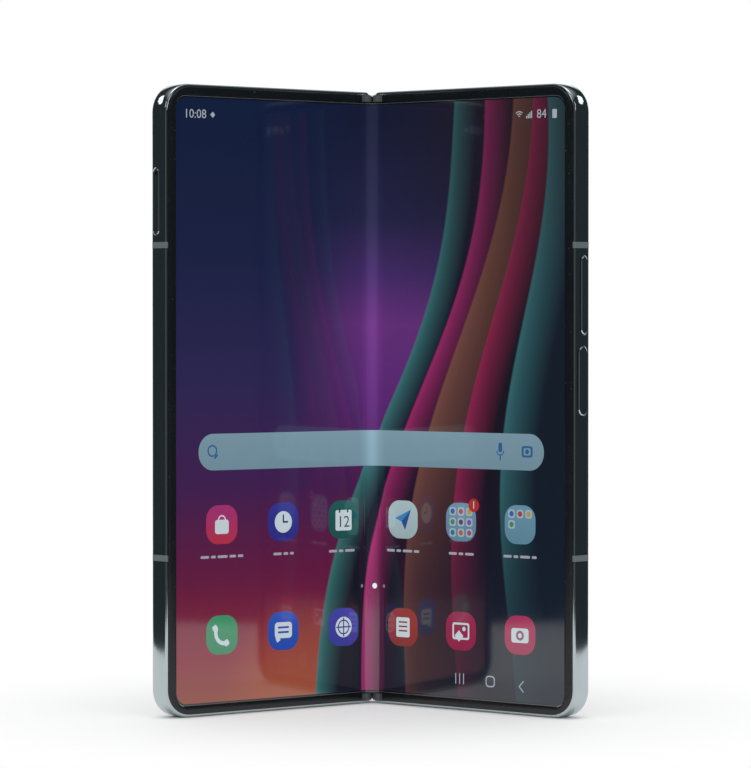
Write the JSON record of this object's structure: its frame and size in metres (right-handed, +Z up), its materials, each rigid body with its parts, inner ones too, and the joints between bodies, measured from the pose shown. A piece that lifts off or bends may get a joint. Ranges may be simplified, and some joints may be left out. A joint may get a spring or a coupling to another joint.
{
  "type": "folding smartphone",
  "caption": "Book-type folding phone standing half open on its bottom edge, with a lit inner folding screen, a geared twin-axis hinge, side keys, card tray and rear cameras.",
  "frame": {"origin": "under the middle of the half-open phone, on the surface that it stands on", "axes": "+Z up along the hinge; +X across the phone to the right of someone facing the inner screen; +Y from the open side back towards the spine"},
  "size_m": [0.1066, 0.0456, 0.1549],
  "materials": {
    "frame_metal": "glossy anodised dark green-black",
    "band_plastic": "satin grey-green plastic",
    "bezel_rubber": "soft satin black",
    "screen": "glossy folding screen, lit",
    "plate_steel": "brushed",
    "hinge_metal": "machined",
    "spine_metal": "satin dark green-black",
    "cap_plastic": "satin dark grey plastic",
    "washer_bronze": "satin",
    "screw_steel": "machined",
    "battery_foil": "black foil pouch",
    "back_glass": "etched satin glass, dark green-black",
    "cover_glass": "polished black glass",
    "module_dark": "dark moulded module",
    "lens_glass": "polished coated glass",
    "board": "circuit board",
    "shield_tin": "pressed tin",
    "coil_copper": "wound copper",
    "magnet": "nickel plated",
    "led": "diffuse"
  },
  "bodies": {
    "spine": {"hinge_cover": "spine_metal", "spine_caps": "spine_metal", "hinge_base_top": "hinge_metal", "hinge_base_bottom": "hinge_metal", "hinge_shafts": "hinge_metal", "hinge_springs": "hinge_metal", "friction_washers": "washer_bronze", "hinge_screws": "screw_steel", "fold_display": "screen"},
    "left_half": {"left_frame": "frame_metal", "left_antenna_bands": "band_plastic", "left_bezel": "bezel_rubber", "left_display": "screen", "left_support_plate": "plate_steel", "left_end_caps": "cap_plastic", "left_bracket_top": "hinge_metal", "left_bracket_bottom": "hinge_metal", "left_bracket_screws": "screw_steel", "left_battery": "battery_foil", "cover_glass": "cover_glass", "cover_display_panel": "screen", "cover_camera": "module_dark", "top_speaker": "module_dark", "left_circuit_board": "board", "sim_reader": "shield_tin", "left_magnets": "magnet"},
    "right_half": {"right_frame": "frame_metal", "right_antenna_bands": "band_plastic", "right_bezel": "bezel_rubber", "right_display": "screen", "right_support_plate": "plate_steel", "right_end_caps": "cap_plastic", "right_bracket_top": "hinge_metal", "right_bracket_bottom": "hinge_metal", "right_bracket_screws": "screw_steel", "right_battery": "battery_foil", "rear_glass": "back_glass", "camera_island": "frame_metal", "camera_lenses": "lens_glass", "camera_modules": "module_dark", "flash_led": "led", "main_board": "board", "board_shields": "shield_tin", "charging_coil": "coil_copper", "usb_port": "shield_tin", "usb_board": "board", "bottom_speaker": "module_dark", "vibration_motor": "shield_tin", "key_switches": "module_dark", "under_display_camera": "module_dark", "right_magnets": "magnet"},
    "left_arms": {"left_arms": "hinge_metal"},
    "right_arms": {"right_arms": "hinge_metal"},
    "left_idlers": {"left_idlers": "hinge_metal"},
    "right_idlers": {"right_idlers": "hinge_metal"},
    "card_tray": {"sim_tray": "frame_metal"},
    "power_key": {"power_key": "frame_metal"},
    "volume_key": {"volume_key": "frame_metal"}
  },
  "joints": [
    {"name": "left_fold", "type": "hinge", "parent": "spine", "child": "left_half", "pos_m": [-0.0017, 0.01818, 0.07745], "axis": [0, 0, 1], "range_deg": [-39.65, 50.35], "deforming": ["fold_display"]},
    {"name": "right_fold", "type": "hinge", "parent": "spine", "child": "right_half", "pos_m": [0.0017, 0.01818, 0.07745], "axis": [0, 0, 1], "range_deg": [-50.35, 39.65], "deforming": ["fold_display"]},
    {"name": "left_arm_swing", "type": "hinge", "parent": "spine", "child": "left_arms", "pos_m": [-0.003, 0.01978, 0.07745], "axis": [0, 0, 1], "range_deg": [-39.65, 50.35]},
    {"name": "right_arm_swing", "type": "hinge", "parent": "spine", "child": "right_arms", "pos_m": [0.003, 0.01978, 0.07745], "axis": [0, 0, 1], "range_deg": [-50.35, 39.65]},
    {"name": "left_idler_turn", "type": "hinge", "parent": "spine", "child": "left_idlers", "pos_m": [-0.001, 0.01978, 0.07745], "axis": [0, 0, 1], "range_deg": [-50.35, 39.65]},
    {"name": "right_idler_turn", "type": "hinge", "parent": "spine", "child": "right_idlers", "pos_m": [0.001, 0.01978, 0.07745], "axis": [0, 0, 1], "range_deg": [-39.65, 50.35]},
    {"name": "card_tray_slide", "type": "slide", "parent": "left_half", "child": "card_tray", "axis": [-0.77, -0.6381, 0], "range_m": [0, 0.02]},
    {"name": "power_key_press", "type": "slide", "parent": "right_half", "child": "power_key", "axis": [-0.77, 0.6381, 0], "range_m": [0, 0.00025], "stiffness_N_per_m": 4000, "springref_m": -0.0001},
    {"name": "volume_key_rock", "type": "hinge", "parent": "right_half", "child": "volume_key", "pos_m": [0.0513, -0.01968, 0.1033], "axis": [0.6381, 0.77, 0], "range_deg": [-0.8, 0.8], "stiffness_Nm_per_rad": 1.2}
  ],
  "couplings": [
    {"joint": "right_fold", "follows": "left_fold", "ratio": -1},
    {"joint": "left_arm_swing", "follows": "left_fold", "ratio": 1},
    {"joint": "right_arm_swing", "follows": "left_fold", "ratio": -1},
    {"joint": "left_idler_turn", "follows": "left_fold", "ratio": -1},
    {"joint": "right_idler_turn", "follows": "left_fold", "ratio": 1}
  ]
}
